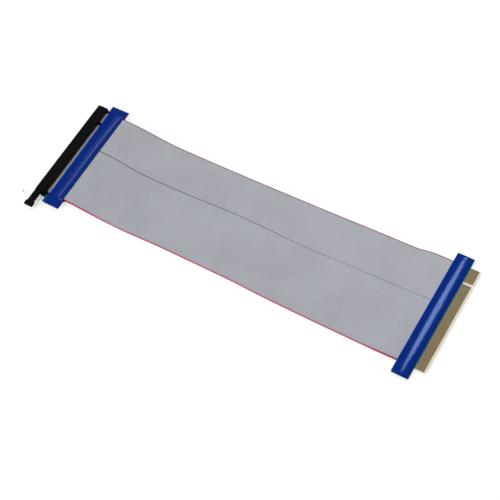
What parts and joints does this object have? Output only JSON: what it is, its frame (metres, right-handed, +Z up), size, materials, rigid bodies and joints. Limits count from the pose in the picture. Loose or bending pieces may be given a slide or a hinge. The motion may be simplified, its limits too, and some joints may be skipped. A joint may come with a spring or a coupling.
{
  "type": "gpu riser cable",
  "caption": "Flat ribbon extender for an expansion card: a latched card slot on one board, a gold-fingered card edge on the other.",
  "frame": {"origin": "middle of the plan of the whole extender, on the table that it lies on", "axes": "+X along the ribbons from the slot to the plug, +Y across the ribbons towards the connectors' key, +Z up"},
  "size_m": [0.3532, 0.1094, 0.0077],
  "materials": {
    "slot_housing": "moulded, slightly satin",
    "latch": "natural nylon",
    "board": "green solder mask with gold and tin contacts",
    "ribbon": "ridged grey insulation with a red edge wire",
    "tape": "glossy blue adhesive tape"
  },
  "bodies": {
    "extender": {"slot_housing": "slot_housing", "slot_board": "board", "plug_board": "board", "ribbon_upper_narrow": "ribbon", "ribbon_upper_wide": "ribbon", "ribbon_lower_narrow": "ribbon", "ribbon_lower_wide": "ribbon", "slot_tape": "tape", "plug_tape": "tape"},
    "latch": {"latch_lever": "latch"}
  },
  "joints": [
    {"name": "latch_pivot", "type": "hinge", "parent": "extender", "child": "latch", "pos_m": [-0.16066, -0.05215, 0.00385], "axis": [0, 0, 1], "range_deg": [0, 30]}
  ]
}
